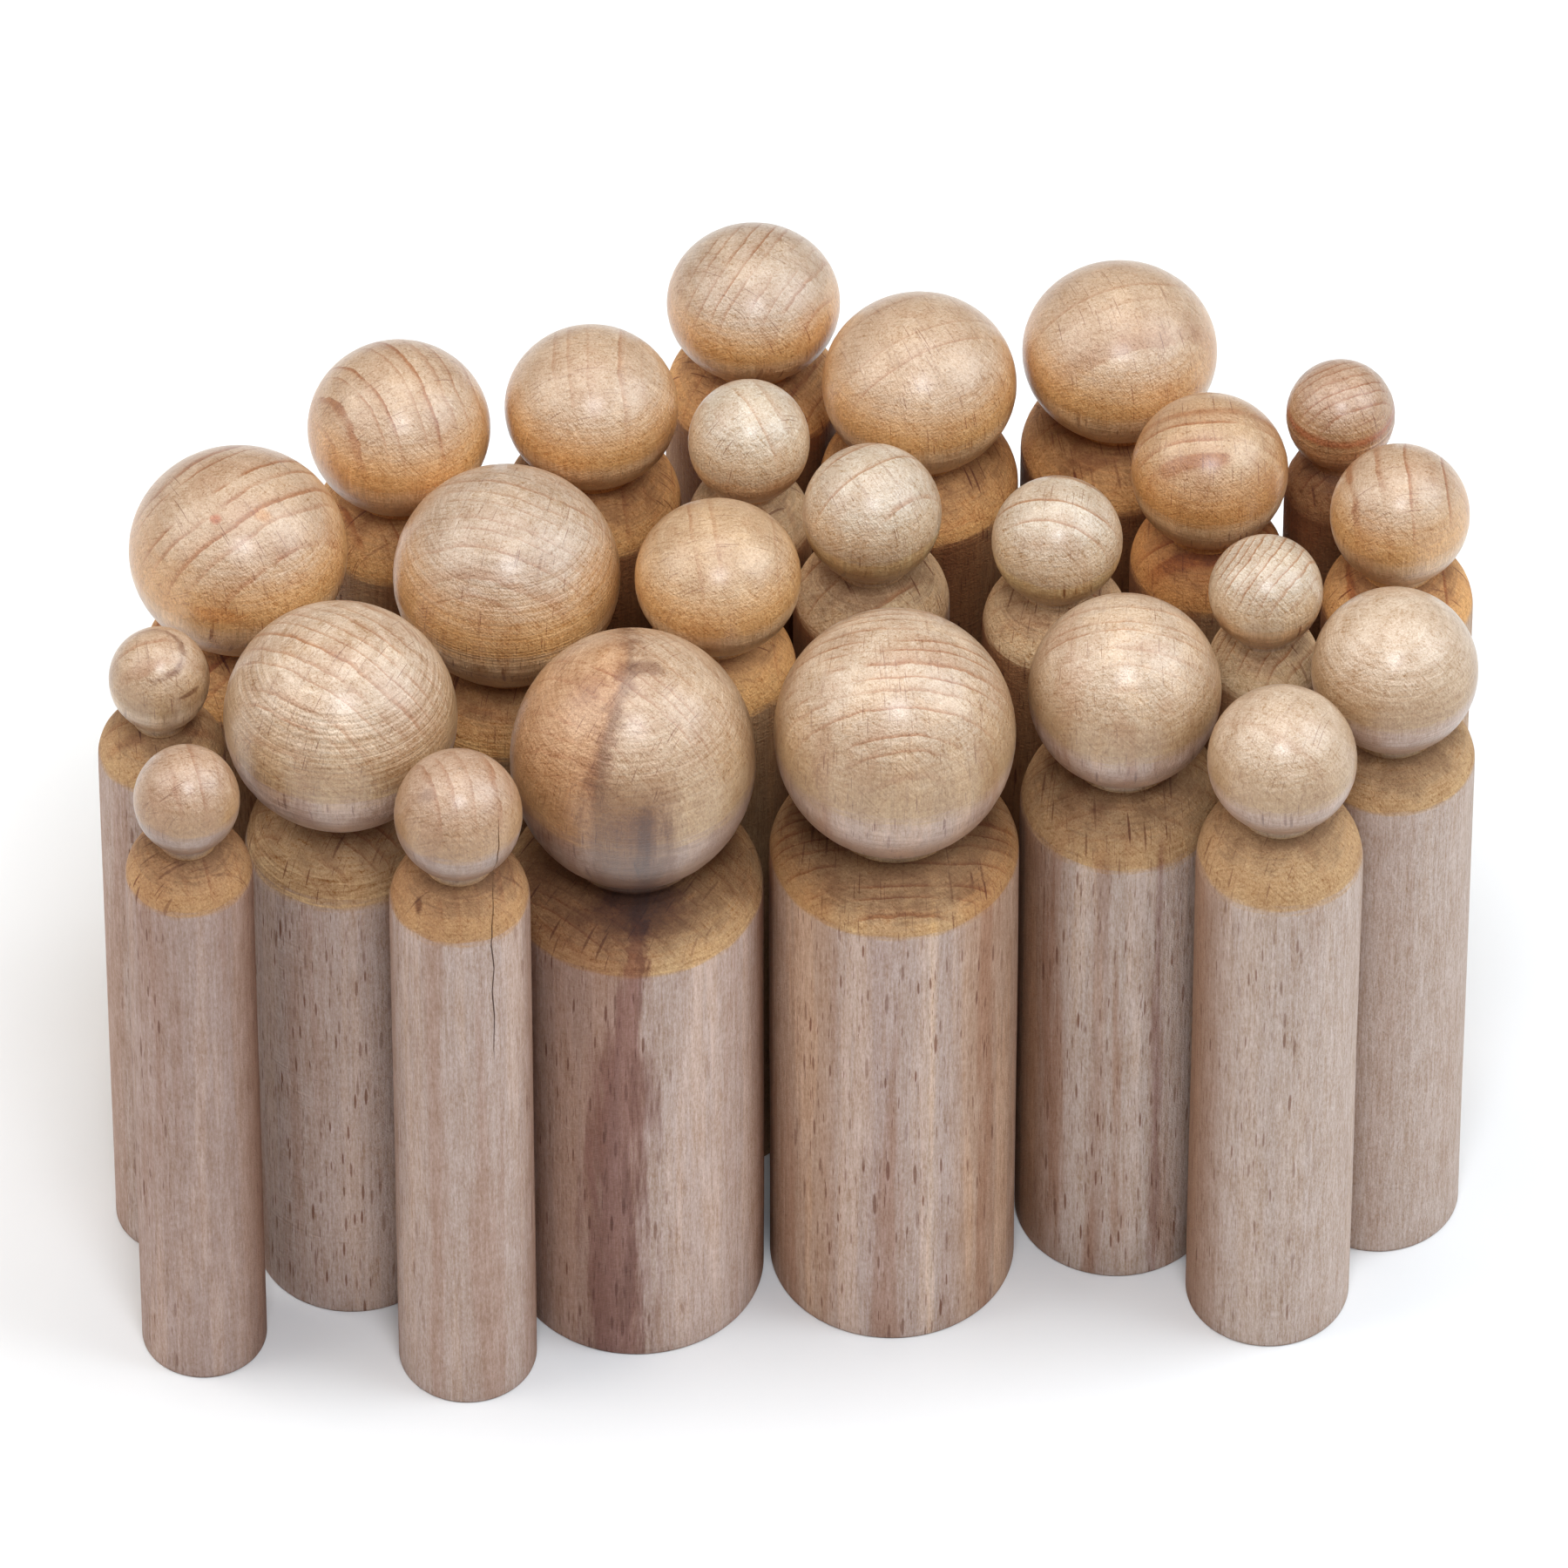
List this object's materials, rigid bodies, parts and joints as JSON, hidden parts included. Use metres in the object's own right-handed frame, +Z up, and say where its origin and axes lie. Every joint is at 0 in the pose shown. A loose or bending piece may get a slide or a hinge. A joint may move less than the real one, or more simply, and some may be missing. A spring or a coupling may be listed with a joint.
{
  "type": "set of wooden ball-head pegs",
  "caption": "Group of loose turned beech pegs of graduated size, each a flat-based cylinder with a rounded shoulder, a short neck and a ball head, all standing upright.",
  "frame": {"origin": "on the ground, below the middle of the group's bounding box, in the plane of the pegs' flat bases", "axes": "+Z up along every peg's own axis; +X to the right along the group's long side; -Y towards the front row"},
  "size_m": [0.1564, 0.0982, 0.103],
  "materials": {
    "beech_peg_01": "lightly oiled beech with a dark heartwood streak, satin",
    "beech_peg_02": "lightly oiled beech, satin",
    "beech_peg_03": "lightly oiled beech, satin",
    "beech_peg_04": "lightly oiled beech, satin",
    "beech_peg_05": "lightly oiled beech, satin",
    "beech_peg_06": "lightly oiled beech, satin",
    "beech_peg_07": "lightly oiled beech, satin",
    "beech_peg_08": "lightly oiled beech, satin",
    "beech_peg_09": "lightly oiled beech, satin",
    "beech_peg_10": "lightly oiled beech, satin",
    "beech_peg_11": "lightly oiled beech, satin",
    "beech_peg_12": "lightly oiled beech, satin",
    "beech_peg_13": "pale, plain oiled beech, satin",
    "beech_peg_14": "lightly oiled beech, satin",
    "beech_peg_15": "lightly oiled beech, satin",
    "beech_peg_16": "lightly oiled beech, satin",
    "beech_peg_17": "lightly oiled beech, satin",
    "beech_peg_18": "lightly oiled beech, satin",
    "beech_peg_19": "lightly oiled beech with a thin drying crack, satin",
    "beech_peg_20": "lightly oiled beech, satin",
    "beech_peg_21": "lightly oiled beech, satin",
    "beech_peg_22": "lightly oiled beech, satin",
    "beech_peg_23": "lightly oiled beech, satin",
    "beech_peg_24": "lightly oiled beech, satin"
  },
  "bodies": {
    "peg_01": {"peg_01": "beech_peg_01"},
    "peg_02": {"peg_02": "beech_peg_02"},
    "peg_03": {"peg_03": "beech_peg_03"},
    "peg_04": {"peg_04": "beech_peg_04"},
    "peg_05": {"peg_05": "beech_peg_05"},
    "peg_06": {"peg_06": "beech_peg_06"},
    "peg_07": {"peg_07": "beech_peg_07"},
    "peg_08": {"peg_08": "beech_peg_08"},
    "peg_09": {"peg_09": "beech_peg_09"},
    "peg_10": {"peg_10": "beech_peg_10"},
    "peg_11": {"peg_11": "beech_peg_11"},
    "peg_12": {"peg_12": "beech_peg_12"},
    "peg_13": {"peg_13": "beech_peg_13"},
    "peg_14": {"peg_14": "beech_peg_14"},
    "peg_15": {"peg_15": "beech_peg_15"},
    "peg_16": {"peg_16": "beech_peg_16"},
    "peg_17": {"peg_17": "beech_peg_17"},
    "peg_18": {"peg_18": "beech_peg_18"},
    "peg_19": {"peg_19": "beech_peg_19"},
    "peg_20": {"peg_20": "beech_peg_20"},
    "peg_21": {"peg_21": "beech_peg_21"},
    "peg_22": {"peg_22": "beech_peg_22"},
    "peg_23": {"peg_23": "beech_peg_23"},
    "peg_24": {"peg_24": "beech_peg_24"}
  },
  "joints": [
    {"name": "peg_02_lift", "type": "slide", "parent": "peg_01", "child": "peg_02", "axis": [0, 0, 1], "range_m": [0, 0.11]},
    {"name": "peg_03_lift", "type": "slide", "parent": "peg_01", "child": "peg_03", "axis": [0, 0, 1], "range_m": [0, 0.11]},
    {"name": "peg_04_lift", "type": "slide", "parent": "peg_01", "child": "peg_04", "axis": [0, 0, 1], "range_m": [0, 0.11]},
    {"name": "peg_05_lift", "type": "slide", "parent": "peg_01", "child": "peg_05", "axis": [0, 0, 1], "range_m": [0, 0.11]},
    {"name": "peg_06_lift", "type": "slide", "parent": "peg_01", "child": "peg_06", "axis": [0, 0, 1], "range_m": [0, 0.11]},
    {"name": "peg_07_lift", "type": "slide", "parent": "peg_01", "child": "peg_07", "axis": [0, 0, 1], "range_m": [0, 0.11]},
    {"name": "peg_08_lift", "type": "slide", "parent": "peg_01", "child": "peg_08", "axis": [0, 0, 1], "range_m": [0, 0.11]},
    {"name": "peg_09_lift", "type": "slide", "parent": "peg_01", "child": "peg_09", "axis": [0, 0, 1], "range_m": [0, 0.11]},
    {"name": "peg_10_lift", "type": "slide", "parent": "peg_01", "child": "peg_10", "axis": [0, 0, 1], "range_m": [0, 0.11]},
    {"name": "peg_11_lift", "type": "slide", "parent": "peg_01", "child": "peg_11", "axis": [0, 0, 1], "range_m": [0, 0.11]},
    {"name": "peg_12_lift", "type": "slide", "parent": "peg_01", "child": "peg_12", "axis": [0, 0, 1], "range_m": [0, 0.11]},
    {"name": "peg_13_lift", "type": "slide", "parent": "peg_01", "child": "peg_13", "axis": [0, 0, 1], "range_m": [0, 0.11]},
    {"name": "peg_14_lift", "type": "slide", "parent": "peg_01", "child": "peg_14", "axis": [0, 0, 1], "range_m": [0, 0.11]},
    {"name": "peg_15_lift", "type": "slide", "parent": "peg_01", "child": "peg_15", "axis": [0, 0, 1], "range_m": [0, 0.11]},
    {"name": "peg_16_lift", "type": "slide", "parent": "peg_01", "child": "peg_16", "axis": [0, 0, 1], "range_m": [0, 0.11]},
    {"name": "peg_17_lift", "type": "slide", "parent": "peg_01", "child": "peg_17", "axis": [0, 0, 1], "range_m": [0, 0.11]},
    {"name": "peg_18_lift", "type": "slide", "parent": "peg_01", "child": "peg_18", "axis": [0, 0, 1], "range_m": [0, 0.11]},
    {"name": "peg_19_lift", "type": "slide", "parent": "peg_01", "child": "peg_19", "axis": [0, 0, 1], "range_m": [0, 0.11]},
    {"name": "peg_20_lift", "type": "slide", "parent": "peg_01", "child": "peg_20", "axis": [0, 0, 1], "range_m": [0, 0.11]},
    {"name": "peg_21_lift", "type": "slide", "parent": "peg_01", "child": "peg_21", "axis": [0, 0, 1], "range_m": [0, 0.11]},
    {"name": "peg_22_lift", "type": "slide", "parent": "peg_01", "child": "peg_22", "axis": [0, 0, 1], "range_m": [0, 0.11]},
    {"name": "peg_23_lift", "type": "slide", "parent": "peg_01", "child": "peg_23", "axis": [0, 0, 1], "range_m": [0, 0.11]},
    {"name": "peg_24_lift", "type": "slide", "parent": "peg_01", "child": "peg_24", "axis": [0, 0, 1], "range_m": [0, 0.11]}
  ]
}
